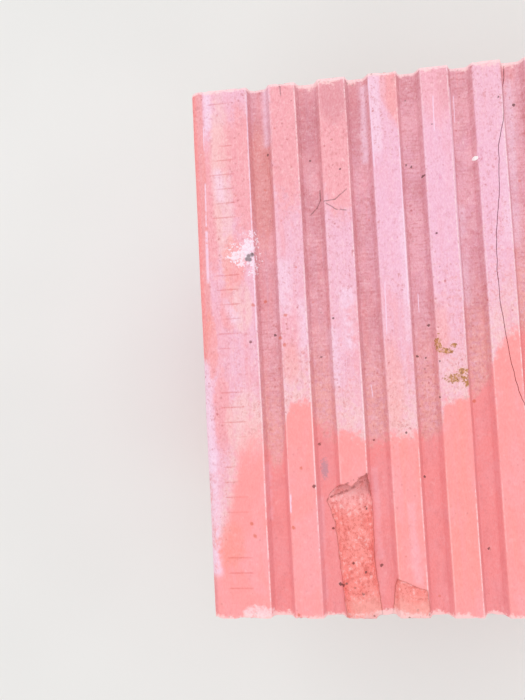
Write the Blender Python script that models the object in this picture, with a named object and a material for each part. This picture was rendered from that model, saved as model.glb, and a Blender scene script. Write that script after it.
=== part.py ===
"""Clay hollow block, lying on one of its two fluted faces.

The block is one fired piece. Clay leaves a die as a ribbon of constant section and wires cut it
to length, so the model is one section, with its flutes, tongues, grooves, cells and grip holes,
extruded along Y. X is the block's length in the wall, Z its thickness and Y its laid height.
The origin is in the middle of the underside's box, tongues included. Sizes are in metres.
"""

import math

import bmesh
import bpy

# The block between its head planes, its rib crests and its two cut ends.
LENGTH = 0.375
THICKNESS = 0.250
HEIGHT = 0.238
CORNER_RADIUS = 0.0040

# Flutes that key the plaster, the same on both large faces.
FLUTE_PITCH = 0.02235
RIB_WIDTH = 0.0120
CORNER_BAND = 0.0255
FLUTE_DEPTH = 0.0035
FLUTE_DRAFT = 0.0018
CREST_RADIUS = 0.0008
FLUTE_FLOOR_RADIUS = 0.0012

# Tongues on one head and the grooves that take the next block's tongues on the other.
TONGUE_COUNT = 3
TONGUE_ROOT = 0.0260
TONGUE_TIP = 0.0180
TONGUE_HEIGHT = 0.0090
TONGUE_RADIUS = 0.0020
INTERLOCK_PLAY = 0.0010

# Cells: rows along the length, every other row shifted by half a cell.
ROWS = 11
COLUMNS = 8
ROWS_BETWEEN_TONGUES = 4
FACE_SHELL = 0.0115
HEAD_SHELL = 0.0135
ROW_WEB = 0.0075
CROSS_WEB = 0.0070
CELL_RADIUS = 0.0022
SHORTEST_CELL = 0.0060

# Two grip holes, each as long as one cell and several rows wide, a cell or more off the middle.
GRIP_ROWS = 5
CELLS_BETWEEN_GRIPS = 2
GRIP_RADIUS = 0.0060

# Facets in each rounded corner.
CORNER_FACETS = 4
SMALL_FACETS = 2
GRIP_FACETS = 3

CLAY_COLOUR = (0.90, 0.43, 0.43, 1.0)
CLAY_ROUGHNESS = 0.9


def rounded(corners):
    """The points of a closed outline. Each corner is (x, z, radius, facets)."""
    points = []
    for i, (x, z, radius, facets) in enumerate(corners):
        before = corners[i - 1]
        after = corners[(i + 1) % len(corners)]
        points += fillet((before[0], before[1]), (x, z), (after[0], after[1]), radius, facets)
    return points


def fillet(before, corner, after, radius, facets):
    """Points of the arc that rounds one corner, kept inside the shorter half of its two sides."""
    into = (before[0] - corner[0], before[1] - corner[1])
    out = (after[0] - corner[0], after[1] - corner[1])
    into_length = math.hypot(*into)
    out_length = math.hypot(*out)
    into = (into[0] / into_length, into[1] / into_length)
    out = (out[0] / out_length, out[1] / out_length)
    half_angle = math.acos(into[0] * out[0] + into[1] * out[1]) / 2
    tangent = min(radius / math.tan(half_angle), into_length / 2, out_length / 2)
    radius = tangent * math.tan(half_angle)
    middle = (into[0] + out[0], into[1] + out[1])
    reach = radius / math.sin(half_angle) / math.hypot(*middle)
    centre = (corner[0] + middle[0] * reach, corner[1] + middle[1] * reach)
    start = (corner[0] + into[0] * tangent, corner[1] + into[1] * tangent)
    spoke = (start[0] - centre[0], start[1] - centre[1])
    turns_left = into[0] * out[1] - into[1] * out[0] < 0
    sweep = (math.pi - 2 * half_angle) * (1 if turns_left else -1)
    points = []
    for step in range(facets + 1):
        angle = sweep * step / facets
        points.append((
            centre[0] + spoke[0] * math.cos(angle) - spoke[1] * math.sin(angle),
            centre[1] + spoke[0] * math.sin(angle) + spoke[1] * math.cos(angle),
        ))
    return points


def flute_centres():
    """Middles of the flutes along X: as many as leave at least the corner bands."""
    room = LENGTH - 2 * CORNER_BAND + RIB_WIDTH
    count = math.floor(room / FLUTE_PITCH)
    return [(i - (count - 1) / 2) * FLUTE_PITCH for i in range(count)]


def flute_corners(z_crest, inwards, run):
    """Corners of all flutes of one large face, walked along X in the direction run."""
    corners = []
    half_mouth = (FLUTE_PITCH - RIB_WIDTH) / 2
    half_floor = half_mouth - FLUTE_DRAFT
    z_floor = z_crest + inwards * FLUTE_DEPTH
    for centre in sorted(flute_centres(), reverse=run < 0):
        corners.append((centre - run * half_mouth, z_crest, CREST_RADIUS, SMALL_FACETS))
        corners.append((centre - run * half_floor, z_floor, FLUTE_FLOOR_RADIUS, SMALL_FACETS))
        corners.append((centre + run * half_floor, z_floor, FLUTE_FLOOR_RADIUS, SMALL_FACETS))
        corners.append((centre + run * half_mouth, z_crest, CREST_RADIUS, SMALL_FACETS))
    return corners


def row_pitch():
    return cell_width() + ROW_WEB


def cell_width():
    """Width of a cell across the thickness, from what the shells and webs leave."""
    between_shells = THICKNESS - 2 * (FLUTE_DEPTH + FACE_SHELL)
    return (between_shells - (ROWS - 1) * ROW_WEB) / ROWS


def row_middle(row):
    return THICKNESS / 2 + (row - (ROWS - 1) / 2) * row_pitch()


def tongue_rows():
    """The rows that the tongues and grooves stand in line with, counted from the middle one."""
    middle_row = (ROWS - 1) // 2
    first = -(TONGUE_COUNT - 1) / 2
    return [round(middle_row + (first + i) * ROWS_BETWEEN_TONGUES) for i in range(TONGUE_COUNT)]


def tongue_corners(x_root):
    """Corners of the tongues, which stand out towards +X, walked up the head."""
    corners = []
    for row in tongue_rows():
        middle = row_middle(row)
        x_tip = x_root + TONGUE_HEIGHT
        corners.append((x_root, middle - TONGUE_ROOT / 2, TONGUE_RADIUS, SMALL_FACETS))
        corners.append((x_tip, middle - TONGUE_TIP / 2, TONGUE_RADIUS, SMALL_FACETS))
        corners.append((x_tip, middle + TONGUE_TIP / 2, TONGUE_RADIUS, SMALL_FACETS))
        corners.append((x_root, middle + TONGUE_ROOT / 2, TONGUE_RADIUS, SMALL_FACETS))
    return corners


def groove_corners(x_mouth):
    """Corners of the grooves, a tongue's shape with play all round, walked down the head."""
    corners = []
    half_mouth = TONGUE_ROOT / 2 + INTERLOCK_PLAY
    half_floor = TONGUE_TIP / 2 + INTERLOCK_PLAY
    x_floor = x_mouth + groove_depth()
    for row in reversed(tongue_rows()):
        middle = row_middle(row)
        corners.append((x_mouth, middle + half_mouth, TONGUE_RADIUS, SMALL_FACETS))
        corners.append((x_floor, middle + half_floor, TONGUE_RADIUS, SMALL_FACETS))
        corners.append((x_floor, middle - half_floor, TONGUE_RADIUS, SMALL_FACETS))
        corners.append((x_mouth, middle - half_mouth, TONGUE_RADIUS, SMALL_FACETS))
    return corners


def groove_depth():
    return TONGUE_HEIGHT + INTERLOCK_PLAY


def outline():
    """The block's outer section, anticlockwise seen from -Y: underside, tongues, top, grooves."""
    left = -LENGTH / 2
    right = LENGTH / 2
    corners = [(left, 0, CORNER_RADIUS, CORNER_FACETS)]
    corners += flute_corners(0, 1, 1)
    corners.append((right, 0, CORNER_RADIUS, CORNER_FACETS))
    corners += tongue_corners(right)
    corners.append((right, THICKNESS, CORNER_RADIUS, CORNER_FACETS))
    corners += flute_corners(THICKNESS, -1, -1)
    corners.append((left, THICKNESS, CORNER_RADIUS, CORNER_FACETS))
    corners += groove_corners(left)
    return rounded(corners)


def cell_length():
    """Length of a whole cell, from what the head shells and cross webs leave."""
    return (LENGTH - 2 * HEAD_SHELL - (COLUMNS - 1) * CROSS_WEB) / COLUMNS


def grip_middles():
    """Where the two grip holes lie along X: each takes the place of one whole cell."""
    off = (CELLS_BETWEEN_GRIPS + 1) / 2 * (cell_length() + CROSS_WEB)
    return [-off, off]


def grip_rows():
    middle_row = (ROWS - 1) // 2
    reach = (GRIP_ROWS - 1) // 2
    return range(middle_row - reach, middle_row + reach + 1)


def free_lengths(row):
    """The stretches of one row, as (x from, x to), that head shells and grip holes leave free."""
    start = -LENGTH / 2 + HEAD_SHELL
    if row in tongue_rows():
        start += groove_depth()
    stretches = []
    if row in grip_rows():
        keep_off = cell_length() / 2 + CROSS_WEB
        for middle in grip_middles():
            stretches.append((start, middle - keep_off))
            start = middle + keep_off
    stretches.append((start, LENGTH / 2 - HEAD_SHELL))
    return stretches


def row_cells(row):
    """The cells of one row as (x from, x to). Even rows are shifted by half a cell."""
    pitch = cell_length() + CROSS_WEB
    shift = 0 if row % 2 else -pitch / 2
    first = -LENGTH / 2 + HEAD_SHELL + shift
    cells = []
    for column in range(COLUMNS + 1):
        cell_from = first + column * pitch
        cell_to = cell_from + cell_length()
        for free_from, free_to in free_lengths(row):
            x_from = max(cell_from, free_from)
            x_to = min(cell_to, free_to)
            if x_to - x_from >= SHORTEST_CELL:
                cells.append((x_from, x_to))
    return cells


def hole(x_from, x_to, z_from, z_to, radius, facets):
    """The points of one rounded rectangular hole."""
    return rounded([
        (x_from, z_from, radius, facets),
        (x_to, z_from, radius, facets),
        (x_to, z_to, radius, facets),
        (x_from, z_to, radius, facets),
    ])


def holes():
    """Every cell and grip hole in the section."""
    found = []
    half_width = cell_width() / 2
    for row in range(ROWS):
        middle = row_middle(row)
        for x_from, x_to in row_cells(row):
            found.append(hole(x_from, x_to, middle - half_width, middle + half_width,
                              CELL_RADIUS, SMALL_FACETS))
    z_from = row_middle(grip_rows()[0]) - half_width
    z_to = row_middle(grip_rows()[-1]) + half_width
    for middle in grip_middles():
        half_length = cell_length() / 2
        found.append(hole(middle - half_length, middle + half_length, z_from, z_to,
                          GRIP_RADIUS, GRIP_FACETS))
    return found


def add_loop(mesh, points):
    """Adds one closed loop of edges at the front cut end."""
    x_middle = TONGUE_HEIGHT / 2
    verts = [mesh.verts.new((x - x_middle, -HEIGHT / 2, z)) for x, z in points]
    for i, vert in enumerate(verts):
        mesh.edges.new((verts[i - 1], vert))


def clay_material():
    material = bpy.data.materials.new("fired_clay")
    material.use_nodes = True
    shader = material.node_tree.nodes["Principled BSDF"]
    shader.inputs["Base Color"].default_value = CLAY_COLOUR
    shader.inputs["Roughness"].default_value = CLAY_ROUGHNESS
    shader.inputs["Metallic"].default_value = 0.0
    return material


def build_block():
    """Fills the section between its outline and its holes, and extrudes it to the cut length."""
    mesh = bmesh.new()
    add_loop(mesh, outline())
    for points in holes():
        add_loop(mesh, points)
    bmesh.ops.triangle_fill(mesh, use_beauty=True, use_dissolve=False, edges=mesh.edges[:])
    front = mesh.faces[:]
    made = bmesh.ops.extrude_face_region(mesh, geom=front, use_keep_orig=True)
    back = [part for part in made["geom"] if isinstance(part, bmesh.types.BMVert)]
    bmesh.ops.translate(mesh, verts=back, vec=(0, HEIGHT, 0))
    bmesh.ops.recalc_face_normals(mesh, faces=mesh.faces[:])
    data = bpy.data.meshes.new("clay_block")
    mesh.to_mesh(data)
    mesh.free()
    data.materials.append(clay_material())
    block = bpy.data.objects.new("clay_block", data)
    bpy.context.scene.collection.objects.link(block)


def main():
    for old in list(bpy.data.objects):
        bpy.data.objects.remove(old, do_unlink=True)
    build_block()


main()
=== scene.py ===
import math

import bmesh
import bpy
from bmesh.types import BMEdge, BMFace, BMVert
from mathutils import Matrix, Vector, noise


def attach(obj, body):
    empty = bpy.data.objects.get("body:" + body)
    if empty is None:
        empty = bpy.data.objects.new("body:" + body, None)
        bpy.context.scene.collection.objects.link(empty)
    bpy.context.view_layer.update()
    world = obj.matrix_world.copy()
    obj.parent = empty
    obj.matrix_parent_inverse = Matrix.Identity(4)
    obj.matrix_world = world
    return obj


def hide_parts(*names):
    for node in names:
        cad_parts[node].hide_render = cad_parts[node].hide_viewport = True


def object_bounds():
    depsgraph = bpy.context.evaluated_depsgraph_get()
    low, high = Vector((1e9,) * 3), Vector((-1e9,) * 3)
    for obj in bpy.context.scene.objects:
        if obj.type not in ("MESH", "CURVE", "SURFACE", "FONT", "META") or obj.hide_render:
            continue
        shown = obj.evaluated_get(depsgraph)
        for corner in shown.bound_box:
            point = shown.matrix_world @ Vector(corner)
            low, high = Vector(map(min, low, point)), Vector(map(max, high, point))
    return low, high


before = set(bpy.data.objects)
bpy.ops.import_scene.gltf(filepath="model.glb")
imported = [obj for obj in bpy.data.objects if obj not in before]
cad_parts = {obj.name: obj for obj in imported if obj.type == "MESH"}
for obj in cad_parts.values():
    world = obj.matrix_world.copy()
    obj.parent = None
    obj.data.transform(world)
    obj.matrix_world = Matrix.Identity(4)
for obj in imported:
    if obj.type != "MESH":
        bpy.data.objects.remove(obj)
cad_low, cad_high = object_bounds()

# The block's box in metres: x along the wall, y along the cells, z through the wall.
LEFT, FRONT, UNDER = cad_low
RIGHT, BACK, TOP = cad_high
MIDDLE_Y = (FRONT + BACK) / 2
HALF_CUT = (BACK - FRONT) / 2
MM = 0.001
WELD = 0.000002

# Flutes of the two plaster faces.
FLUTE_COUNT = 15
FLUTE_PITCH = 0.02235
MIDDLE_FLUTE = -0.0045
FIRST_FLUTE = MIDDLE_FLUTE - FLUTE_PITCH * (FLUTE_COUNT - 1) / 2
FLUTE_MOUTH_HALF = 0.005175
FLUTE_DEPTH = 0.0035
FACE_BAND = 0.0046
RIB_2_MIDDLE = FIRST_FLUTE + 1.5 * FLUTE_PITCH
RIB_HALF = FLUTE_PITCH / 2 - FLUTE_MOUTH_HALF

# The photograph's camera, in metres, degrees and pixels.
PICTURE_WIDE = 525
PICTURE_HIGH = 700
FOCAL_PX = 526.0
SENSOR_MM = 36.0
CAMERA_AT = Vector((-0.1392, -0.0126, 0.4826))
CAMERA_ROLL = 3.20
CAMERA_PITCH = -2.36
CAMERA_YAW = -6.31
CAMERA_TURN = (
    Matrix.Rotation(math.radians(CAMERA_YAW), 3, "Y")
    @ Matrix.Rotation(math.radians(CAMERA_PITCH), 3, "X")
    @ Matrix.Rotation(math.radians(CAMERA_ROLL), 3, "Z")
).transposed()

# Steps of the mesh, in metres.
CREST_STEP = 0.0016
SIDE_STEP = 0.0070
CUT_GRID = 0.0055
FINE_STEP = 0.0008
FINE_CUTS = 2
RIM = 0.0006
END_STATIONS = (0.0005, 0.0013, 0.0024, 0.0044)
LONG_STATIONS = 26
LONG_CUTS = 3
LONG_STEP = (BACK - FRONT - 2 * END_STATIONS[-1]) / LONG_STATIONS
ROW_STEP = LONG_STEP / (LONG_CUTS + 1)
ROW_SHARE = 0.8
STROKE_CUTS = 4
CELL_STATIONS = (0.0005, 0.0040, 0.0400)
CELL_PARTS = 2
FLAKE_MARGIN = 0.001
CRACK_LANE = 0.002
SHARP_TURN = math.radians(38)

# Which finish a face of the mesh has.
FLUTED_CLAY, CUT_CLAY, CELL_CLAY = range(3)

# Marks of the plaster face, in pixels of the photograph.
RIB_2_FLAKE_PX = (
    (327, 503), (329.5, 496), (340, 485), (346, 484), (352, 486.5), (359, 479), (367, 474),
    (370, 487), (373.5, 502), (375, 540), (376, 565), (380, 590), (384, 619), (347, 620),
    (344, 592), (341, 570), (338.5, 548), (336, 527), (331, 512),
)
RIB_3_FLAKE_PX = ((397.5, 579), (412, 585), (428, 591), (430, 606), (431, 620), (394, 620), (395.5, 600))
CRACK_PX = (
    (506.7, 62), (504.7, 95), (503.8, 120), (498.7, 145), (499, 165), (499.5, 195), (497.6, 215),
    (497, 240), (497, 270), (500, 300), (504.5, 325), (510, 355), (516, 380), (522, 397), (525, 403),
    (533, 432), (538, 466), (548, 500), (552, 535), (560, 572), (564, 622),
)
DAMP_EDGE_PX = (
    (188, 566), (214, 562), (228, 520), (240, 452), (248, 436), (262, 436), (274, 470), (281, 470),
    (288, 405), (310, 403), (316, 424), (334, 436), (360, 437), (366, 444), (386, 442), (391, 434),
    (416, 431), (424, 432), (440, 430), (446, 406), (470, 398), (478, 392), (486, 384), (493, 366),
    (501, 346), (512, 333), (525, 330),
)
SALMON_HEAD_PX = ((380, 70), (396, 70), (396, 118), (389, 112), (381, 100), (378.5, 86))
LIME_PX = (
    (227, 258), (232, 250), (238, 247), (243, 241), (247, 236), (250, 233), (253.5, 233), (254.5, 262),
    (254, 275), (249, 267), (243, 262), (239, 266), (233, 262),
)
# Places of one shade of the clay: middle and half sizes in pixels.
ROSY_PX = (
    ((285, 130), (17, 85)), ((335, 135), (16, 85)), ((396, 92), (9, 34)), ((226, 150), (14, 30)),
    ((222, 412), (7, 42)), ((212, 213), (6, 62)), ((243, 170), (10, 70)), ((228, 308), (7, 24)),
)
CREAM_PX = (((222, 187), (5.5, 92)), ((241, 307), (9, 26)), ((245, 422), (17, 30)))
DULL_PX = (((333, 98), (13, 26)), ((357, 120), (7, 44)), ((309, 125), (7, 40)), ((444, 86), (5, 24)))
PINK_PX = (((435, 84), (17, 40)), ((290, 330), (10, 30)))
WARM_PX = (((393, 388), (9, 46)), ((377, 402), (6, 30)), ((290, 362), (9, 20)), ((437, 330), (10, 30)))
LILAC_PLACE_PX = ((432, 195), (92, 100))
ORANGE_PX = (((211, 348), (4.5, 34)), ((233, 262), (11, 26)), ((261, 180), (8, 60)), ((231, 545), (14, 22)))
# Each streak of bloom: two ends in pixels, half width in millimetres and strength.
LILAC_STREAKS_PX = (
    ((206.5, 92), (208, 140), 1.6, 0.9), ((203, 362), (209, 470), 2.6, 0.9),
    ((211, 455), (215, 572), 3.0, 0.9), ((229, 300), (236, 320), 2.6, 0.7),
    ((265, 88), (267, 142), 1.7, 0.6), ((364, 84), (366, 158), 1.6, 0.6),
    ((373, 76), (378, 150), 2.0, 0.6), ((217, 172), (220, 200), 2.2, 0.6),
    ((402, 210), (409, 340), 1.6, 0.5), ((332, 330), (336, 385), 2.0, 0.5),
    ((346, 292), (352, 345), 3.2, 0.8), ((283, 262), (286, 312), 2.8, 0.6),
    ((302, 302), (305, 346), 2.4, 0.5), ((411, 505), (418, 582), 1.6, 0.22),
    ((267, 466), (271, 520), 1.4, 0.22), ((320, 500), (325, 600), 1.6, 0.14),
    ((375, 470), (381, 560), 1.2, 0.16), ((462, 205), (468, 300), 2.2, 0.40),
    ((509, 80), (514, 240), 3.4, 0.55),
)
# Each nick: place in pixels, half length along the rib, half width and depth in millimetres.
NICKS_PX = (
    (307.5, 356, 3.4, 1.3, 1.0), (281.5, 309, 3.2, 0.9, 0.6), (283, 368, 3.2, 0.9, 0.6),
    (477.0, 158, 4.6, 1.7, 1.3), (257.5, 385, 2.2, 1.0, 0.8), (258.5, 399, 3.0, 1.2, 0.9),
    (260, 412, 2.0, 1.0, 0.8), (261, 425, 2.6, 0.9, 0.7), (399, 345, 3.0, 0.9, 0.6),
    (379, 341, 2.6, 0.9, 0.6), (440.5, 177, 2.2, 0.8, 0.6), (436.7, 233.7, 1.6, 0.7, 0.6),
)
# Each pit: place in pixels and radius in millimetres. The first ones lie in the flakes.
PITS_PX = (
    (333.6, 528.6, 0.9), (366.7, 574.5, 1.0), (381.5, 565.5, 0.6), (365.5, 508, 0.6), (353.5, 565, 0.6),
    (343.5, 584, 0.7), (314, 486.5, 0.5), (320, 444, 0.5), (374, 440, 0.6), (251, 342, 0.45),
)
FLAKE_PITS = 6
LIME_GRAIN_PX = (474.2, 159.6)
FLAKE_PALE_PX = (356, 522)
SMUDGE_PX = (325, 470)
FOOT_CHALK_PX = (258, 612)
DARK_FLECKS_PX = (
    (268, 155.5), (310, 161), (340, 169), (405.6, 100), (432.5, 124), (422.7, 177.5), (498.5, 96.5),
    (514, 105), (406, 165), (411, 167), (275.5, 335), (428.5, 325.5), (417.6, 356), (426, 358),
    (424.5, 369), (440, 361), (439, 397), (424.6, 476.6), (250, 258), (252, 254), (321, 357),
    (437, 233), (341, 584), (367, 510), (333.5, 318), (406.5, 433), (489, 549),
)
LUMPS_PX = ((248.6, 256), (249.6, 259.5), (252, 254.6), (247, 259))
SCARPS_PX = (
    ((341, 487), (346.5, 484.4), (353.7, 480.3), (362.9, 476.2), (366.4, 474.7)),
    (
        (327.7, 502.2), (332.2, 498.2), (339.4, 495.6), (346.5, 492), (353.7, 487.4), (362.9, 482.3),
        (366, 480.3),
    ),
    ((366.4, 474.7), (369, 487), (372, 502)),
)
RUST_FLECKS_PX = (
    (265.6, 301.5), (253, 305), (285, 315), (284.5, 345), (301, 468), (252, 524), (255, 536),
    (293.5, 528), (299, 615), (256, 614), (281, 338), (474, 401),
)
# Each stroke: two ends in pixels.
HAIRS_PX = (
    ((277, 82), (279.5, 87)), ((279.5, 87), (280.5, 95)), ((320, 188), (320.5, 198)),
    ((320.5, 198), (317, 206)), ((317, 206), (311, 212)), ((324, 201), (335, 199)),
    ((335, 199), (346, 189)), ((326, 203), (336, 209)), ((336, 209), (346, 210)),
)
# Each pale line, partly wear and partly painted highlight: two ends in pixels and half width in millimetres.
PALE_AND_SHEEN_LINES_PX = (
    ((205.2, 184), (206.2, 226), 0.35), ((206.4, 232), (208.0, 282), 0.62),
    ((203.2, 128), (204.2, 150), 0.2), ((385, 282), (387, 334), 0.22),
    ((419.5, 293), (420.5, 311), 0.22), ((290.5, 495), (291, 512), 0.35),
    ((372, 385), (373.5, 397), 0.2), ((450.2, 86), (464.2, 300), 0.26),
    ((399.5, 146), (408.4, 304), 0.24), ((368.2, 79), (374.4, 166), 0.30),
    ((245.8, 92), (256.2, 330), 0.22), ((455.5, 92), (456.8, 118), 0.20),
    ((433, 96), (434.5, 130), 0.24),
)
# Each olive stain: middle and half sizes in pixels.
STAINS_PX = (
    ((438.5, 344), (1.8, 7.5)), ((447, 351), (5.0, 3.0)), ((453, 345), (3.5, 2.0)),
    ((457, 378), (9.5, 4.5)), ((463, 371), (5.0, 3.0)), ((467, 384), (2.5, 3.0)),
)

# The roller's plain strokes on the corner band, in metres.
STROKE_ROWS = 3
STROKE_COUNT = 35
STROKE_HALF_WIDTH = 0.00044
STROKE_DEPTH = 0.00034
STROKE_LEFT = LEFT + 0.0072
STROKE_RIGHT = LEFT + 0.0192
STROKE_END = 0.0012
STROKE_WORN_SHARES = (-0.35, 0.25)
STROKE_FIRST = FRONT + END_STATIONS[-1] + ROW_STEP
STROKES = [STROKE_FIRST + STROKE_ROWS * ROW_STEP * k for k in range(STROKE_COUNT)]

# Crack, flakes, pits and other wear, in metres unless a name says otherwise.
CRACK_LIP = 0.00016
CRACK_DEPTH = 0.0008
CRACK_REACH = 0.02
BEND_SHARES = (0.33, 0.66)
LIME_GRAIN_RADIUS = 0.0010
LIME_GRAIN_HEIGHT = 0.0006
PIT_DEPTH_SHARE = 0.9
RIB_2_FLAKE_DEPTH = 0.0013
RIB_2_FLAKE_SLOPE = 0.0015
RIB_3_FLAKE_DEPTH = 0.0005
FLAKE_RIM_MM = 0.9
FLAKES_GAP = 0.003
CRUMB_DEPTH = 0.0019
CRUMB_FROM_SHARE = 0.22
NEAR_MOUTH_SHARE = 0.55
LEAST_RUB = 0.00003
WIRE_REACH_MM = 14.0
SIDE_DAMP_RISE = 0.07
WEB_INSETS = (0.004, 0.016)
SKIN_INSETS = (0.004, 0.010)

# Unevenness: depth and size of its bumps in metres, how much a change along the block counts, and
# where its noise is taken from.
WEB_ASIDE = (0.00045, 0.028, 0.4, 0.0)
WEB_LIFT = (0.00045, 0.028, 0.4, 11.0)
SKIN_ASIDE = (0.00022, 0.022, 0.5, 7.0)
WIRE_WAVE = (0.00006, 0.045, 1.0, 0.0)
WIRE_RIPPLE = (0.00004, 0.011, 1.0, 2.0)
EDGE_RUB = (0.00011, 0.0045, 1.0, 4.0)
FACE_SAG = (0.00005, 0.012, 0.6, 6.0)
TOP_SAG = (0.00007, 0.030, 0.5, 8.0)
FLAKE_LUMPS = (0.00040, 0.006, 1.0, 3.0)
FLAKE_CRUMBS = (0.00026, 0.0019, 1.0, 5.0)
FLAKE_WANDER = (0.00042, 0.004, 1.0, 0.0)
FLAKE_FRAY = (0.00021, 0.0013, 1.0, 0.0)
CRACK_BENDS = (0.00045, 0.003, 1.0, 12.0)
DAMP_WAVE = (0.012, 0.05, 1.0, 0.0)
SIDE_DAMP_WAVE = (0.02, 0.06, 1.0, 3.0)
# The same with a share of what it changes in place of a depth.
CRUMBS = (1.0, 0.0052, 1.0, 9.0)
NICK_GRAIN = (0.5, 0.0014, 1.0, 1.0)
STROKE_WEAR = (1.0, 0.018, 1.0, 5.0)


def colour(red, green, blue):
    """A paint colour, from 0 to 255 as a screen shows it, in the light units of the shaders."""
    parts = []
    for part in (red, green, blue):
        share = part / 255
        parts.append(share / 12.92 if share <= 0.04045 else ((share + 0.055) / 1.055) ** 2.4)
    return (*parts, 1.0)


def smooth(low, high, value):
    """0 up to low, 1 from high, and a soft rise between them."""
    share = min(1.0, max(0.0, (value - low) / (high - low)))
    return share * share * (3 - 2 * share)


def ripple(x, y, z, kind):
    """One kind of unevenness at a point, to both sides of zero."""
    depth, size, squeeze, seed = kind
    place = Vector((x / size + seed, y * squeeze / size - seed, z / size + 2 * seed))
    return depth * noise.noise(place)


def dent(x, y, z, kind):
    """One kind of unevenness at a point, from zero upwards."""
    return kind[0] + ripple(x, y, z, kind)


def on_face(px, py, height=TOP):
    """The point of the plaster face that a pixel of the photograph shows."""
    across = (px - PICTURE_WIDE / 2) / FOCAL_PX
    up = (PICTURE_HIGH / 2 - py) / FOCAL_PX
    ray = CAMERA_TURN @ Vector((across, up, -1.0))
    return CAMERA_AT + ray * ((height - CAMERA_AT.z) / ray.z)


def points_on_face(pixels):
    """The x and y of each pixel's point of the plaster face."""
    return [tuple(on_face(px, py)[:2]) for px, py in pixels]


def to_stretch(x, y, start, end):
    """How far a point is from the straight stretch between two points."""
    run_x = end[0] - start[0]
    run_y = end[1] - start[1]
    share = ((x - start[0]) * run_x + (y - start[1]) * run_y) / (run_x * run_x + run_y * run_y)
    share = min(1.0, max(0.0, share))
    return math.hypot(x - start[0] - share * run_x, y - start[1] - share * run_y)


def to_line(x, y, points):
    """How far a point is from a line of points."""
    return min(to_stretch(x, y, a, b) for a, b in zip(points, points[1:]))


def with_bends(points):
    """A line of points with small bends between them."""
    bent_line = [points[0]]
    for (ax, ay), (bx, by) in zip(points, points[1:]):
        for share in BEND_SHARES:
            x = ax + (bx - ax) * share
            y = ay + (by - ay) * share
            bent_line.append((x + ripple(x, y, 0, CRACK_BENDS), y))
        bent_line.append((bx, by))
    return bent_line


def inside_outline(x, y, outline):
    """How far a point lies inside a closed outline, and below zero outside it."""
    inside = False
    nearest = 1.0
    for (ax, ay), (bx, by) in zip(outline, outline[1:] + outline[:1]):
        nearest = min(nearest, to_stretch(x, y, (ax, ay), (bx, by)))
        if (ay > y) != (by > y) and x < ax + (bx - ax) * (y - ay) / (by - ay):
            inside = not inside
    return nearest if inside else -nearest


def height_on(x, points):
    """The y of a line of points, from left to right, at x."""
    if x <= points[0][0]:
        return points[0][1]
    for (ax, ay), (bx, by) in zip(points, points[1:]):
        if x <= bx:
            return ay + (by - ay) * (x - ax) / (bx - ax)
    return points[-1][1]


def inside_rib(x):
    """How far a point of a fluted face is from the nearest crest edge: above zero on a rib."""
    number = min(FLUTE_COUNT - 1, max(0, round((x - FIRST_FLUTE) / FLUTE_PITCH)))
    return abs(x - FIRST_FLUTE - number * FLUTE_PITCH) - FLUTE_MOUTH_HALF


def on_clay(px, py):
    """The x and y of the rib or flute floor that a pixel of the photograph shows."""
    point = on_face(px, py)
    if inside_rib(point.x) < 0:
        point = on_face(px, py, TOP - FLUTE_DEPTH)
    return point.x, point.y


def points_on_clay(pixels):
    """The x and y of each pixel's point of a rib or flute floor."""
    return [on_clay(px, py) for px, py in pixels]


RIB_2_FLAKE = points_on_face(RIB_2_FLAKE_PX)
RIB_3_FLAKE = points_on_face(RIB_3_FLAKE_PX)
CRACK = with_bends(points_on_face(CRACK_PX))
DAMP_EDGE = points_on_face(DAMP_EDGE_PX)
SALMON_HEAD = points_on_face(SALMON_HEAD_PX)
LIME = points_on_face(LIME_PX)
NICKS = [(*on_clay(px, py), long * MM, wide * MM, deep * MM) for px, py, long, wide, deep in NICKS_PX]
PITS = [(*on_clay(px, py), radius * MM) for px, py, radius in PITS_PX]
LIME_GRAIN = on_clay(*LIME_GRAIN_PX)
FLAKE_PALE_FROM = on_face(*FLAKE_PALE_PX).y
OUTLINES = (("flake", RIB_2_FLAKE), ("flake", RIB_3_FLAKE), ("lime", LIME), ("salmon", SALMON_HEAD))


# The block's mesh

def new_object(name, data):
    """A new object in the scene."""
    made = bpy.data.objects.new(name, data)
    bpy.context.scene.collection.objects.link(made)
    return made


def only(kind, geometry):
    """The vertices, edges or faces of what an operator returns."""
    return [g for g in geometry if isinstance(g, kind)]


def cut_section(node):
    """The block's section, as closed loops of edges on the front cut end."""
    block = bmesh.new()
    block.from_mesh(node.data)
    bmesh.ops.remove_doubles(block, verts=block.verts, dist=WELD)
    behind = [v for v in block.verts if v.co.y > FRONT + WELD]
    bmesh.ops.delete(block, geom=behind, context="VERTS")
    inner = [e for e in block.edges if not e.is_boundary]
    bmesh.ops.delete(block, geom=block.faces[:], context="FACES_ONLY")
    bmesh.ops.delete(block, geom=inner, context="EDGES")
    return block


def outline_edges(block):
    """The edges of the section's outer loop."""
    start = min(block.verts, key=lambda v: v.co.x)
    found = []
    seen = set()
    todo = [start]
    while todo:
        vert = todo.pop()
        for edge in vert.link_edges:
            if edge not in seen:
                seen.add(edge)
                found.append(edge)
                todo.append(edge.other_vert(vert))
    return found


def step_edges(block, edges):
    """Parts long edges of the outline, in short steps on the top face."""
    by_cuts = {}
    for edge in edges:
        on_top = min(v.co.z for v in edge.verts) > TOP - FACE_BAND
        cuts = math.ceil(edge.calc_length() / (CREST_STEP if on_top else SIDE_STEP)) - 1
        by_cuts.setdefault(cuts, []).append(edge)
    for cuts, same in sorted(by_cuts.items()):
        if cuts > 0:
            bmesh.ops.subdivide_edges(block, edges=same, cuts=cuts)


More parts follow.
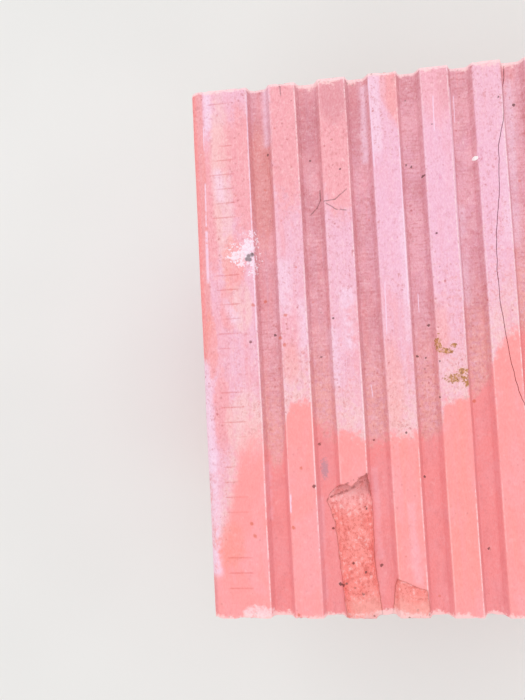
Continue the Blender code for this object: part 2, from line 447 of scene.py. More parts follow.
def draw_through(block, edges, stations):
    """Draws loops of edges through the block, from one station to the next."""
    for station in stations:
        drawn = bmesh.ops.extrude_edge_only(block, edges=edges)["geom"]
        tips = set(only(BMVert, drawn))
        for tip in tips:
            tip.co.y = station
        edges = [e for e in only(BMEdge, drawn) if all(v in tips for v in e.verts)]
    return edges


def stations_between(first, last, count):
    """Even stations after the first place, up to the last one."""
    return [first + (last - first) * k / count for k in range(1, count + 1)]


def long_stations(offsets, count):
    """Stations from the front end piece to the back one, close together near both."""
    near = [FRONT + offset for offset in offsets[1:]]
    far = [BACK - offset for offset in reversed(offsets)]
    return near + stations_between(near[-1], far[0], count) + far[1:]


def cut_by(block, faces, place, across):
    """Cuts faces by one plane and returns all of them."""
    parts = list(dict.fromkeys(e for f in faces for e in f.edges))
    corners = list(dict.fromkeys(v for f in faces for v in f.verts))
    cut = bmesh.ops.bisect_plane(
        block, geom=faces + parts + corners, dist=WELD, plane_co=place, plane_no=across
    )
    return only(BMFace, cut["geom"])


def close_end(block, edges):
    """Fills the front cut end between its loops, with a narrow rim along each edge and an even grid."""
    filled = bmesh.ops.triangle_fill(
        block, use_beauty=True, use_dissolve=False, edges=edges, normal=Vector((0, -1, 0))
    )
    faces = only(BMFace, filled["geom"])
    for face in faces:
        face.material_index = CUT_CLAY
    bmesh.ops.inset_region(
        block, faces=faces, use_boundary=True, use_even_offset=True, thickness=RIM, depth=0.0
    )
    for axis, low, high in ((0, LEFT, RIGHT), (2, UNDER, TOP)):
        across = Vector((0, 0, 0))
        across[axis] = 1.0
        for place in stations_between(low, high, round((high - low) / CUT_GRID))[:-1]:
            faces = cut_by(block, faces, across * place, across)


def mirrored_end(block):
    """Copies the front end piece to the back."""
    copied = bmesh.ops.duplicate(block, geom=block.verts[:] + block.edges[:] + block.faces[:])["geom"]
    corners = only(BMVert, copied)
    bmesh.ops.scale(block, vec=(1, -1, 1), verts=corners)
    bmesh.ops.translate(block, vec=(0, 2 * MIDDLE_Y, 0), verts=corners)


def top_faces(block):
    """The faces of the upper plaster face."""
    return [
        f for f in block.faces
        if f.material_index == FLUTED_CLAY and min(v.co.z for v in f.verts) > TOP - FACE_BAND
    ]


def touched(face, areas):
    """Whether a face touches any of some rectangles."""
    xs = [v.co.x for v in face.verts]
    ys = [v.co.y for v in face.verts]
    low_x, high_x, low_y, high_y = min(xs), max(xs), min(ys), max(ys)
    return any(
        low_x < right and high_x > left and low_y < back and high_y > front
        for left, right, front, back in areas
    )


def area_round(points, margin):
    """The rectangle round some points: left, right, front and back."""
    xs = [point[0] for point in points]
    ys = [point[1] for point in points]
    return min(xs) - margin, max(xs) + margin, min(ys) - margin, max(ys) + margin


def refine(block, areas, cuts):
    """Parts the top face's edges finely where they touch some rectangles."""
    edges = dict.fromkeys(e for f in top_faces(block) if touched(f, areas) for e in f.edges)
    edges = [e for e in edges if e.calc_length() > FINE_STEP]
    bmesh.ops.subdivide_edges(block, edges=edges, cuts=cuts, use_grid_fill=True)


def follow_crack(block):
    """Lays three lines of mesh edges along the crack: its middle and its two lips."""
    lanes = [area_round(stretch, CRACK_LANE) for stretch in zip(CRACK, CRACK[1:])]
    near = [f for f in top_faces(block) if touched(f, lanes)]
    for (start, end), lane in zip(zip(CRACK, CRACK[1:]), lanes):
        left, right, front, back = lane
        here = [f for f in near if touched(f, [(left, right, front + CRACK_LANE, back - CRACK_LANE)])]
        chosen = set(here)
        near = [f for f in near if f not in chosen]
        run = Vector((end[0] - start[0], end[1] - start[1], 0)).normalized()
        across = Vector((run.y, -run.x, 0))
        for shift in (-CRACK_LIP, 0.0, CRACK_LIP):
            here = cut_by(block, here, Vector((*start, 0)) + across * shift, across)
        near += here


def part_rows(block, step, left, right, cuts):
    """Parts the top face's edges of about one step along the block, between two places across it."""
    rows = dict.fromkeys(
        e for f in top_faces(block) for e in f.edges
        if abs(e.verts[0].co.y - e.verts[1].co.y) > ROW_SHARE * step and left < e.verts[0].co.x < right
    )
    bmesh.ops.subdivide_edges(block, edges=list(rows), cuts=cuts)


def block_mesh(node):
    """The block as one closed mesh: outside, cut ends and cells."""
    block = cut_section(node)
    outline = outline_edges(block)
    outer = set(outline)
    mouths = [e for e in block.edges if e not in outer]
    step_edges(block, outline)
    cells = set(mouths)
    outline = [e for e in block.edges if e not in cells]
    inner_mouths = draw_through(block, mouths, [FRONT + END_STATIONS[0]])
    for face in block.faces:
        face.material_index = CELL_CLAY
    inner_outline = draw_through(block, outline, [FRONT + END_STATIONS[0]])
    close_end(block, outline + mouths)
    mirrored_end(block)
    before = set(block.faces)
    draw_through(block, inner_mouths, long_stations(CELL_STATIONS, CELL_PARTS))
    for face in block.faces:
        if face not in before:
            face.material_index = CELL_CLAY
    draw_through(block, inner_outline, long_stations(END_STATIONS, LONG_STATIONS))
    bmesh.ops.remove_doubles(block, verts=block.verts, dist=WELD)
    part_rows(block, LONG_STEP, LEFT - MM, RIGHT + MM, LONG_CUTS)
    grain_area = area_round([LIME_GRAIN], LIME_GRAIN_RADIUS)
    fine = [area_round(outline, FLAKE_MARGIN) for outline in (RIB_2_FLAKE, RIB_3_FLAKE)]
    fine += [(x - wide, x + wide, y - long, y + long) for x, y, long, wide, _ in NICKS]
    fine += [area_round([(x, y)], radius) for x, y, radius in PITS[FLAKE_PITS:]]
    refine(block, fine + [grain_area], FINE_CUTS)
    refine(block, [grain_area], 1)
    part_rows(block, ROW_STEP, STROKE_LEFT, STROKE_RIGHT, STROKE_CUTS)
    follow_crack(block)
    return block


# Places of the marks on each corner of the mesh, in millimetres

MARKS = ("lift", "arris", "above_damp", "flake", "crack", "lime", "salmon", "stroke", "from_end")
FAR_MM = 60.0
NEAR_MM = 4.0
FLAT_MM = 12.0


def marks_at(x, y, z):
    """What a finish needs to know of a point of the block, before wear moves it."""
    on_top = z > TOP - FACE_BAND
    fluted = on_top or z < UNDER + FACE_BAND
    depth = min(TOP - z, z - UNDER)
    found = dict.fromkeys(MARKS, -FAR_MM)
    found["lift"] = 1 - min(1.0, depth / FLUTE_DEPTH) if fluted else 1.0
    found["arris"] = inside_rib(x) / MM if fluted else FLAT_MM
    if not on_top:
        edge = FRONT + SIDE_DAMP_RISE + ripple(x, 0, z, SIDE_DAMP_WAVE)
    elif x < DAMP_EDGE[-1][0]:
        edge = height_on(x, DAMP_EDGE)
    else:
        edge = DAMP_EDGE[-1][1] + ripple(x, 0, 0, DAMP_WAVE)
    found["above_damp"] = (y - edge) / MM
    found["from_end"] = (HALF_CUT - abs(y - MIDDLE_Y)) / MM
    found["crack"] = FAR_MM
    found["stroke"] = 0.0
    if on_top:
        for name, outline in OUTLINES:
            left, right, _, _ = area_round(outline, NEAR_MM * MM)
            if left < x < right:
                found[name] = max(found[name], inside_outline(x, y, outline) / MM)
        if found["flake"] > -NEAR_MM:
            found["flake"] += (ripple(x, y, 0, FLAKE_WANDER) + ripple(x, y, 0, FLAKE_FRAY)) / MM
        if CRACK[0][0] - CRACK_REACH < x < CRACK[-1][0] + CRACK_REACH:
            found["crack"] = min(FAR_MM, to_line(x, y, CRACK) / MM)
        if STROKE_LEFT - WELD < x < STROKE_RIGHT + WELD:
            stroke = min(abs(y - at) for at in STROKES)
            ends = smooth(0, STROKE_END, min(x - STROKE_LEFT, STROKE_RIGHT - x))
            worn = smooth(*STROKE_WORN_SHARES, ripple(x, y, 0, STROKE_WEAR))
            found["stroke"] = max(0.0, 1 - stroke / STROKE_HALF_WIDTH) * ends * worn
    return found


def bent(point):
    """Where the wavy section of a drawn block puts a point, the outside of its box unmoved."""
    x, y, z = point
    depth = min(z - UNDER, TOP - z)
    inner = smooth(*WEB_INSETS, min(x - LEFT, RIGHT - x, depth))
    skin = 1 - smooth(*SKIN_INSETS, depth)
    aside = inner * ripple(x, y, z, WEB_ASIDE) + skin * ripple(x, y, z, SKIN_ASIDE)
    return Vector((x + aside, y, z + inner * ripple(x, y, z, WEB_LIFT)))


def worn_point(corner, marks, sharp, near_mouth):
    """Where drawing, cutting, knocks and weather have put a corner of the mesh."""
    x, y, z = corner.co
    inward = -corner.normal
    point = bent(corner.co)
    way = 1.0 if y > MIDDLE_Y else -1.0
    # The cutting wire leaves each end slightly wavy.
    wave = dent(x, way, z, WIRE_WAVE) + dent(x, way, z, WIRE_RIPPLE)
    point.y -= way * wave * smooth(WIRE_REACH_MM, 0.0, marks["from_end"])
    # All edges are rubbed, and the cut edges are crumbled in places.
    rub = LEAST_RUB + dent(x, y, z, EDGE_RUB) * sharp
    crumb = max(0.0, ripple(x, way, z, CRUMBS) - CRUMB_FROM_SHARE) * near_mouth
    point += inward * (rub + CRUMB_DEPTH * crumb)
    # The faces sag a little between the webs.
    point += inward * dent(x, y, z, FACE_SAG)
    if z > TOP - FACE_BAND:
        sink = dent(x, y, 0, TOP_SAG)
        if marks["flake"] > 0:
            deep = RIB_3_FLAKE_DEPTH
            if x < RIB_3_FLAKE[0][0] - FLAKES_GAP:
                slope = min(1.0, ((x - RIB_2_MIDDLE) / RIB_HALF) ** 2)
                deep = RIB_2_FLAKE_DEPTH + RIB_2_FLAKE_SLOPE * slope
            deep += ripple(x, y, 0, FLAKE_LUMPS) + ripple(x, y, 0, FLAKE_CRUMBS)
            drop = deep * smooth(0.0, FLAKE_RIM_MM, marks["flake"])
            sink = max(sink, drop - (TOP - z))
        for at_x, at_y, long, wide, deep in NICKS:
            if abs(x - at_x) < wide and abs(y - at_y) < long:
                bowl = 1 - ((x - at_x) / wide) ** 2 - ((y - at_y) / long) ** 2
                bowl *= 1 + ripple(x, y, 0, NICK_GRAIN)
                sink += deep * max(0.0, bowl)
        for at_x, at_y, radius in PITS:
            reach = math.hypot(x - at_x, y - at_y) / radius
            if reach < 1:
                sink += radius * PIT_DEPTH_SHARE * (1 - reach * reach)
        grain = math.hypot(x - LIME_GRAIN[0], y - LIME_GRAIN[1]) / LIME_GRAIN_RADIUS
        if grain < 1:
            sink -= LIME_GRAIN_HEIGHT * math.sqrt(1 - grain * grain)
        if marks["crack"] < CRACK_LIP / MM:
            sink += CRACK_DEPTH * (1 - marks["crack"] * MM / CRACK_LIP)
        sink += STROKE_DEPTH * marks["stroke"]
        point.z -= sink
    return point


def edge_sharpness(corner):
    """From 0 on a flat place to 1 on a square outer edge."""
    turns = [e.calc_face_angle_signed(0.0) for e in corner.link_edges if len(e.link_faces) == 2]
    return min(1.0, max(0.0, max(turns, default=0.0)) / (math.pi / 2))


def finished_block(node):
    """Builds the block's piece, with the marks of each corner kept for its finishes."""
    block = block_mesh(node)
    bmesh.ops.recalc_face_normals(block, faces=block.faces[:])
    block.normal_update()
    layers = {name: block.verts.layers.float.new(name) for name in MARKS}
    mouth = {}
    for corner in block.verts:
        kinds = {f.material_index for f in corner.link_faces}
        if CUT_CLAY in kinds and len(kinds) > 1:
            mouth[corner] = 1.0
    for corner in list(mouth):
        for edge in corner.link_edges:
            mouth.setdefault(edge.other_vert(corner), NEAR_MOUTH_SHARE)
    moved = []
    for corner in block.verts:
        marks = marks_at(*corner.co)
        for name, layer in layers.items():
            corner[layer] = marks[name]
        moved.append(worn_point(corner, marks, edge_sharpness(corner), mouth.get(corner, 0.0)))
    for corner, point in zip(block.verts, moved):
        corner.co = Vector((
            min(RIGHT, max(LEFT, point.x)),
            min(BACK, max(FRONT, point.y)),
            min(TOP, max(UNDER, point.z)),
        ))
    bmesh.ops.triangulate(block, faces=[f for f in block.faces if len(f.verts) > 4])
    block.normal_update()
    for face in block.faces:
        face.smooth = True
    for edge in block.edges:
        if len(edge.link_faces) == 2:
            edge.smooth = edge.calc_face_angle(0.0) < SHARP_TURN
    mesh = bpy.data.meshes.new("hollow_block")
    block.to_mesh(mesh)
    block.free()
    piece = new_object("hollow_block", mesh)
    crisp = piece.modifiers.new("crisp_arrises", "WEIGHTED_NORMAL")
    crisp.keep_sharp = True
    return piece


# Finishes

class Value:
    """A number that a finish works out for each point of a surface."""

    def __init__(self, finish, socket):
        self.finish = finish
        self.socket = socket

    def sum_of(self, operation, *terms):
        """What a Math node makes of some terms."""
        return self.finish.add("ShaderNodeMath", {"operation": operation}, dict(enumerate(terms)))

    def __add__(self, other):
        return self.sum_of("ADD", self, other)

    def __radd__(self, other):
        return self.sum_of("ADD", other, self)

    def __sub__(self, other):
        return self.sum_of("SUBTRACT", self, other)

    def __rsub__(self, other):
        return self.sum_of("SUBTRACT", other, self)

    def __mul__(self, other):
        return self.sum_of("MULTIPLY", self, other)

    def __rmul__(self, other):
        return self.sum_of("MULTIPLY", other, self)

    def __truediv__(self, other):
        return self.sum_of("DIVIDE", self, other)

    def lower_of(self, other):
        return self.sum_of("MINIMUM", self, other)

    def upper_of(self, other):
        return self.sum_of("MAXIMUM", self, other)

    def size(self):
        return self.sum_of("ABSOLUTE", self)

    def ramp(self, low, high, low_value=0.0, high_value=1.0):
        """Rises softly from one value to another as this one goes from low to high."""
        return self.finish.add(
            "ShaderNodeMapRange",
            {"interpolation_type": "SMOOTHSTEP", "clamp": True},
            {"Value": self, "From Min": low, "From Max": high, "To Min": low_value, "To Max": high_value},
        )


class Coat:
    """A colour of a surface, and the colours that are laid over it."""

    def __init__(self, finish, first):
        self.finish = finish
        self.colour = first

    def lay(self, share, tint):
        """Goes over to another colour where share is 1."""
        self.colour = self.finish.mix(share, self.colour, tint)


class Finish:
    """One material and the nodes that it is made of."""

    def __init__(self, name):
        self.material = bpy.data.materials.new(name)
        self.material.use_nodes = True
        self.tree = self.material.node_tree
        self.tree.nodes.clear()
        self.place = self.add("ShaderNodeTexCoord", output="Object")
        self.x, self.y, self.z = self.parts(self.place)

    def add(self, kind, settings=None, sockets=None, output=0):
        """Makes a node, fills or links its sockets and gives one of its outputs."""
        node = self.tree.nodes.new(kind)
        for name, value in (settings or {}).items():
            setattr(node, name, value)
        for key, value in (sockets or {}).items():
            if isinstance(value, Value):
                self.tree.links.new(value.socket, node.inputs[key])
            else:
                node.inputs[key].default_value = value
        return Value(self, node.outputs[output]) if node.outputs else None

    def outputs_of(self, value):
        """All outputs of the node that a value comes from."""
        return [Value(self, socket) for socket in value.socket.node.outputs]

    def parts(self, vector):
        return self.outputs_of(self.add("ShaderNodeSeparateXYZ", sockets={"Vector": vector}))

    def point(self, x, y, z):
        return self.add("ShaderNodeCombineXYZ", sockets={"X": x, "Y": y, "Z": z})

    def mark(self, name):
        """One of the marks that the block's mesh carries."""
        return self.add("ShaderNodeAttribute", {"attribute_name": name}, output="Fac")

    def stretched(self, x_mm, y_mm, z_mm, shift=0.0):
        """Object coordinates with a bump of noise as large as the given millimetres."""
        scale = (1000 / x_mm, 1000 / y_mm, 1000 / z_mm)
        return self.add(
            "ShaderNodeMapping", {"vector_type": "POINT"},
            {"Vector": self.place, "Location": (shift, shift, shift), "Scale": scale},
        )

    def grain(self, x_mm, y_mm, z_mm, detail=3.0, rough=0.55, twist=0.0, shift=0.0):
        """Noise from 0 to 1."""
        return self.add(
            "ShaderNodeTexNoise", {"noise_dimensions": "3D"},
            {"Vector": self.stretched(x_mm, y_mm, z_mm, shift), "Scale": 1.0, "Detail": detail,
             "Roughness": rough, "Distortion": twist},
        )

    def dots(self, cell_mm, radius_share, share, shift=0.0):
        """Round specks, one at most in a cell, in the given share of the cells."""
        place = self.stretched(cell_mm, cell_mm, cell_mm, shift)
        cells = self.add("ShaderNodeTexVoronoi", {"feature": "F1"}, {"Vector": place, "Scale": 1.0})
        near, cell_colour = self.outputs_of(cells)[:2]
        split = self.add("ShaderNodeSeparateColor", sockets={"Color": cell_colour})
        chance, size = self.outputs_of(split)[:2]
        here = chance.ramp(share, share - 0.01)
        return here * near.ramp(radius_share * 1.2, radius_share * 0.7) * size.ramp(0.0, 1.0, 0.4, 1.0)

    def mix(self, share, base, top):
        """A colour that goes from base to top with share."""
        settings = {"data_type": "RGBA", "blend_type": "MIX", "clamp_factor": True}
        return self.add("ShaderNodeMix", settings, {0: share, 6: base, 7: top}, output=2)

    def coat(self, first):
        return Coat(self, first)

    def near_points(self, points, radius, soft, ragged):
        """1 within a radius of any of the points, seen from above. Ragged is in metres."""
        place = self.point(self.x, self.y, 0.0)
        nearest = None
        for x, y in points:
            away = self.add(
                "ShaderNodeVectorMath", {"operation": "DISTANCE"}, {0: place, 1: (x, y, 0.0)}, output="Value"
            )
            nearest = away if nearest is None else nearest.lower_of(away)
        return (nearest + ragged).ramp(radius + soft, radius - soft)

    def near_stroke(self, start_px, end_px, half_width, ragged, soft):
        """1 along a stroke between two pixels, fading towards its ends. Ragged is in metres."""
        start = on_face(*start_px).xy
        run = on_face(*end_px).xy - start
        long = run.length
        run = run / long
        along = (self.x - start.x) * run.x + (self.y - start.y) * run.y
        aside = ((self.x - start.x) * run.y - (self.y - start.y) * run.x + ragged).size()
        inside = (along - long / 2).size().ramp(long / 2 + 0.6 * MM + half_width, long / 2 - 0.4 * MM)
        return aside.ramp(half_width * (1 + soft), half_width * (1 - soft)) * inside

    def blot(self, middle, half_x, half_y, ragged, edge):
        """1 within an oval whose rim is ragged."""
        across = (self.x - middle.x) / half_x
        along = (self.y - middle.y) / half_y
        reach = across * across + along * along + ragged
        return reach.ramp(1 + edge, 1 - edge)

    def ovals(self, places, ragged, edge):
        """1 within any of some ovals of the photograph, given by middle and half sizes in pixels."""
        found = ragged * 0.0
        for middle, half in places:
            at = on_face(*middle)
            rim = on_face(middle[0] + half[0], middle[1] - half[1])
            oval = self.blot(at, abs(rim.x - at.x), abs(rim.y - at.y), ragged, edge)
            found = found.upper_of(oval)
        return found

    def close(self, coat, roughness, height):
        """Joins the colours and the relief, in millimetres, to the surface."""
        relief = {"Strength": 1.0, "Distance": MM, "Height": height}
        bump = self.add("ShaderNodeBump", sockets=relief, output="Normal")
        surface = {"Base Color": coat.colour, "Roughness": roughness, "Normal": bump}
        surface["Specular IOR Level"] = DRY_SPECULAR
        shader = self.add("ShaderNodeBsdfPrincipled", sockets=surface)
        self.add("ShaderNodeOutputMaterial", sockets={"Surface": shader})
        return self.material


DRY_SPECULAR = 0.25
ROSE = colour(244, 168, 180)
BARE_ROSE = colour(246, 166, 174)
LILAC_BLOOM = colour(243, 189, 211)
CREAM_BLOOM = colour(248, 203, 203)
SALMON = colour(253, 157, 157)
ORANGE_SALMON = colour(250, 150, 138)
FLUTE_ROSE = colour(236, 158, 167)
FLUTE_GREY_ROSE = colour(228, 164, 180)
FLUTE_WARM = colour(242, 170, 160)
FLUTE_PALE = colour(244, 186, 198)
FLUTE_ORANGE = colour(226, 142, 132)
FLUTE_SALMON = colour(245, 146, 148)
WALL_SHADE_RED = colour(198, 116, 122)
FLAKE_ORANGE = colour(254, 154, 148)
FLAKE_CORAL = colour(254, 142, 135)
FLAKE_RED = colour(226, 106, 98)
FLAKE_PINK = colour(254, 178, 180)
LILAC_WHITE = colour(248, 214, 236)
LIME_WHITE = colour(250, 236, 248)
CHALK = colour(252, 214, 216)
SOIL = colour(96, 60, 56)
RUST = colour(214, 98, 62)
REDDISH = colour(196, 104, 108)
OLIVE = colour(180, 120, 58)
LILAC_PLACE = colour(244, 190, 222)
LACE_SALMON = colour(238, 150, 152)
FLUTE_LILAC = colour(236, 174, 200)
DRIFT_PALE = colour(242, 178, 190)
DRIFT_DARK = colour(212, 138, 150)
SMEAR_DARK = colour(204, 128, 138)
CROSS_DARK = colour(206, 122, 130)
SALMON_PINK = colour(253, 172, 182)
WET_FLUTE_PALE = colour(242, 154, 160)
WET_FLUTE_DARK = colour(226, 128, 132)
STRIP_SHADE_SALMON = colour(240, 152, 152)
CORNER_SHADE_SALMON = colour(255, 146, 148)
DULL_ROSE = colour(206, 130, 144)
PINK = colour(246, 170, 182)
WARM_PINK = colour(248, 172, 170)
RUBBED_WHITE_AND_HIGHLIGHT = colour(255, 224, 230)
HEAD_SALMON = colour(246, 162, 162)
SPECKLE_DARK = colour(204, 116, 116)
SPECKLE_PALE = colour(255, 222, 226)
MOTTLE_PALE = colour(255, 214, 218)
BROWN_SPECK = colour(196, 108, 96)
FINE_PALE = colour(255, 225, 225)
FLAKE_DARK = colour(206, 92, 84)
FLAKE_PALE = colour(255, 208, 208)
FLAKE_FOOT = colour(253, 178, 170)
FLAKE_STEP_SHADE = colour(198, 112, 112)
SCARP_SHADOW_BROWN = colour(150, 78, 74)
BRINK_SHADE_RED = colour(222, 120, 112)
OLIVE_PALE = colour(210, 152, 92)
OLIVE_DARK = colour(120, 76, 34)
SMUDGE_GREY = colour(164, 142, 160)
LUMP_GREY = colour(122, 100, 104)
GRAIN_WHITE = colour(255, 252, 252)
PIT_SHADE_BROWN = colour(112, 52, 44)
STROKE_RED = colour(214, 118, 108)
CRACK_DARK = colour(100, 50, 54)
EDGE_PALE_AND_HIGHLIGHT = colour(255, 214, 214)
GRIT_BROWN = colour(130, 80, 62)
BACK_RIM_PALE_AND_HIGHLIGHT = colour(255, 220, 224)
FOOT_CHALK = colour(253, 220, 226)
CUT_ROSE = colour(240, 160, 158)
CUT_PALE = colour(246, 182, 184)
CUT_DRAG = colour(236, 138, 128)
CELL_ORANGE = colour(232, 144, 132)
CELL_PALE = colour(240, 162, 156)


def fluted_clay():
    """The drawn outside of the block, rosy and bloomed above and damp salmon towards the front."""
    clay = Finish("weathered_fluted_clay")
    x = clay.x
    y = clay.y
    lift = clay.mark("lift")
    arris = clay.mark("arris")
    above_damp = clay.mark("above_damp")
    flake = clay.mark("flake")
    on_top = clay.z.ramp(TOP - 6 * MM, TOP - 5 * MM)
    on_band = x.ramp(FIRST_FLUTE - 4.5 * MM, FIRST_FLUTE - 5.5 * MM) * on_top

    broad = clay.grain(46, 90, 46, 3.0, 0.55)
    streak = clay.grain(3.2, 70, 9, 4.0, 0.6, shift=3.1)
    thin_streak = clay.grain(0.9, 40, 4, 3.0, 0.6, shift=8.3)
    mottle = clay.grain(3.0, 3.6, 3.0, 5.0, 0.65, shift=5.7)
    cloud = clay.grain(13, 26, 13, 4.0, 0.6, 0.6, shift=1.9)
    fine = clay.grain(0.55, 1.3, 0.55, 2.0, 0.5)
    speckle = clay.grain(1.7, 2.1, 1.7, 5.0, 0.75, 0.3, shift=4.2)
    ragged = clay.grain(2.2, 2.2, 2.2, 4.0, 0.7, shift=2.2)
    tatter = (ragged - 0.5) * 1.4 + (mottle - 0.5) * 1.2 + (cloud - 0.5) * 1.4

    # Ribs and flat places, with less bloom in the rosy ones.
    rosy = clay.ovals(ROSY_PX, tatter, 0.5) * on_top
    lilac = clay.ovals([LILAC_PLACE_PX], tatter, 0.9) * on_top
    bloom = (cloud * 0.55 + streak * 0.35 + broad * 0.3 + lilac * 0.08).ramp(0.38, 0.66) * (1 - rosy * 0.85)
    rib = clay.coat(ROSE)
    rib.lay(rosy, BARE_ROSE)
    rib.lay(bloom, LILAC_BLOOM)
    rib.lay(lilac * (1 - rosy) * 0.34, LILAC_PLACE)
    crust = clay.grain(1.2, 1.2, 1.2, 4.0, 0.7, shift=6.6)
    near_damp = above_damp.ramp(34.0, 4.0)
    cream = near_damp * (mottle * 0.5 + cloud * 0.3 + ragged * 0.2).ramp(0.40, 0.56)
    rib.lay(cream * 0.85, CREAM_BLOOM)
    creamy = clay.ovals(CREAM_PX, tatter, 0.5) * on_top
    rib.lay(creamy * (streak * 0.6 + ragged * 0.4).ramp(0.34, 0.54) * 0.7, CREAM_BLOOM)
    lace = (crust * 0.45 + ragged * 0.35 + cloud * 0.2).ramp(0.50, 0.60)
    rib.lay(lace * above_damp.ramp(90.0, 20.0, 0.10, 0.50), LACE_SALMON)
    rib.lay(thin_streak.ramp(0.58, 0.78) * 0.34, CHALK)
    rib.lay(thin_streak.ramp(0.40, 0.24) * 0.22, REDDISH)
    # Flutes, with fine ripples across them.
    cross = clay.grain(6, 1.0, 6, 2.0, 0.5, 0.4, shift=4.9)
    flute = clay.coat(FLUTE_ROSE)
    flute.lay((streak * 0.6 + cloud * 0.4 + lilac * 0.05).ramp(0.40, 0.58), FLUTE_GREY_ROSE)
    flute.lay(lilac * 0.40, FLUTE_LILAC)
    drift = clay.grain(26, 17, 26, 3.0, 0.6, 0.5, shift=5.1)
    flute.lay(drift.ramp(0.50, 0.60) * 0.45, DRIFT_PALE)
    flute.lay(drift.ramp(0.48, 0.38) * 0.35, DRIFT_DARK)
    smear = clay.grain(5, 11, 5, 4.0, 0.6, 0.4, shift=7.3)
    flute.lay(smear.ramp(0.52, 0.66) * 0.34, SMEAR_DARK)
    flute.lay(smear.ramp(0.46, 0.34) * 0.40, FLUTE_PALE)
    flute.lay(cross.ramp(0.50, 0.66) * cloud.ramp(0.36, 0.58) * 0.42, CROSS_DARK)
    flute.lay(cross.ramp(0.46, 0.32) * cloud.ramp(0.64, 0.42) * 0.45, FLUTE_PALE)
    flute.lay(above_damp.ramp(60.0, 6.0) * ragged.ramp(0.34, 0.60) * 0.7, FLUTE_WARM)
    flute.lay(crust.ramp(0.52, 0.68) * 0.30, REDDISH)
    flute.lay(crust.ramp(0.45, 0.33) * 0.30, FLUTE_PALE)
    crest = lift.ramp(0.72, 0.97)
    dry = clay.mix(crest, flute.colour, rib.colour)
    # The damp part near the front cut end, with an uneven edge.
    wet_rib = clay.coat(SALMON)
    wet_rib.lay(cloud.ramp(0.46, 0.66) * 0.40, SALMON_PINK)
    wet_rib.lay((streak * 0.6 + broad * 0.4).ramp(0.50, 0.62) * 0.35, ORANGE_SALMON)
    wet_flute = clay.coat(FLUTE_SALMON)
    wet_flute.lay(cloud.ramp(0.44, 0.62) * 0.6, WET_FLUTE_PALE)
    wet_flute.lay(smear.ramp(0.50, 0.64) * 0.30, WET_FLUTE_DARK)
    wet = clay.mix(crest, wet_flute.colour, wet_rib.colour)
    softness = 4.4 - crest * 1.4 + (1 - on_top) * 14 + on_band * 8
    frayed = (above_damp + (cloud - 0.5) * 20 + (ragged - 0.5) * 15 + (mottle - 0.5) * 13) / softness
    damp = frayed.ramp(1.0, -1.2)
    even = damp * 0.6
    skin = clay.coat(clay.mix(damp, dry, wet))
    # The band's outer strip and the left corner carry painted shade where the rounded corner turns from the
    # light, and other orange places have lost their bloom.
    strip_shade = (x + (streak - 0.5) * (3 * MM)).ramp(LEFT + 6.2 * MM, LEFT + 4.8 * MM)
    strip_shade = strip_shade * (above_damp + (cloud - 0.5) * 40).ramp(82.0, 96.0)
    skin.lay(strip_shade * on_top * 0.75, STRIP_SHADE_SALMON)
    # Painted shade on the rounded left corner.
    corner = x.ramp(LEFT + 3.6 * MM, LEFT + 1.2 * MM) * above_damp.ramp(60.0, 90.0)
    corner = corner * clay.z.ramp(TOP - 16 * MM, TOP - 4 * MM)
    skin.lay(corner * 0.8, CORNER_SHADE_SALMON)
    orange = clay.ovals(ORANGE_PX, tatter, 0.5) * on_top
    skin.lay(orange * 0.5, clay.mix(crest, FLUTE_ORANGE, ORANGE_SALMON))
    skin.lay(clay.ovals(DULL_PX, tatter, 0.7) * on_top * 0.45, DULL_ROSE)
    skin.lay(clay.ovals(PINK_PX, tatter, 0.7) * crest * on_top * 0.55, PINK)
    skin.lay(clay.ovals(WARM_PX, tatter, 0.7) * crest * on_top * (0.55 - even), WARM_PINK)
    for start, end, half_width, strength in LILAC_STREAKS_PX:
        wander = (tatter + (streak - 0.5) * 2) * (1.1 * MM)
        pale = clay.near_stroke(start, end, half_width * MM, wander, 0.7) * on_top
        skin.lay(pale * (cloud * 0.6 + ragged * 0.4).ramp(0.34, 0.52) * strength, LILAC_WHITE)
    # Flute walls get painted shade, and rubbed crest edges are pale with a painted highlight, most of all on
    # the right of a rib.
    phase = (x - FIRST_FLUTE) * (2 * math.pi / FLUTE_PITCH)
    # Painted shade on the flute walls, a little more on each flute's left wall.
    wall = arris.ramp(0.05, -0.25) * arris.ramp(-2.0, -1.3)
    left_wall = phase.sum_of("SINE", phase).ramp(0.3, -0.3)
    skin.lay(wall * (left_wall * 0.16 + 0.18 - damp * 0.12), WALL_SHADE_RED)
    # Crest edges: partly worn pale and partly a painted highlight, stronger on a rib's right edge.
    right_edge_highlight = left_wall * 0.65 + 0.35
    rub = arris.ramp(-0.14, 0.04) * arris.ramp(0.80, 0.34) * (streak * 0.6 + ragged * 0.4).ramp(0.44, 0.56)
    skin.lay(rub * right_edge_highlight * 0.7, RUBBED_WHITE_AND_HIGHLIGHT)
    # Salmon places without bloom at the head of a rib.
    head = (clay.mark("salmon") + (ragged - 0.5) * 3.0).ramp(-0.8, 0.8) * on_top
    skin.lay(head * 0.40, HEAD_SALMON)
